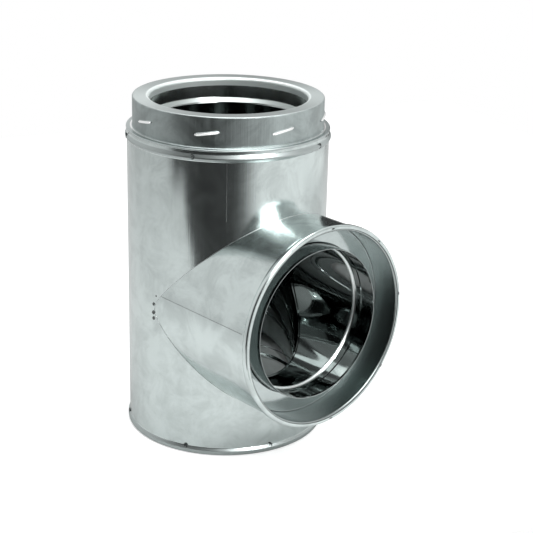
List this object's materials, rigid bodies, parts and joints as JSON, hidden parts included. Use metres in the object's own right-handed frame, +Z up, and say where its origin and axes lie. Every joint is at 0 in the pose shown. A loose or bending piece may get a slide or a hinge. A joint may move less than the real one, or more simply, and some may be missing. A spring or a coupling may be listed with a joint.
{
  "type": "insulated stove pipe tee",
  "caption": "Double-wall insulated stove pipe tee: an upright steel casing with a male twist-lock collar on top, a female end below and a female branch at right angles.",
  "frame": {"origin": "centre of the bottom rim, in the plane that the tee stands on", "axes": "+Z up along the body's axis, +X along the branch's axis towards its mouth"},
  "size_m": [0.2558, 0.2068, 0.349],
  "materials": {
    "casing_steel": "bright polished stainless sheet, lightly brushed along the pipe",
    "coupler_steel": "duller stainless sheet with fine upright brushing",
    "flue_steel": "smooth mirror-like flue liner",
    "insulation": "hidden mineral fibre blanket"
  },
  "bodies": {
    "root": {"outer_casing": "casing_steel", "branch_casing": "casing_steel", "top_coupler": "coupler_steel", "bottom_coupler": "coupler_steel", "branch_coupler": "coupler_steel", "top_flue_ring": "flue_steel", "bottom_flue_ring": "flue_steel", "branch_flue_ring": "flue_steel", "flue_liner": "flue_steel", "branch_liner": "flue_steel", "body_insulation": "insulation", "branch_insulation": "insulation"}
  },
  "joints": []
}
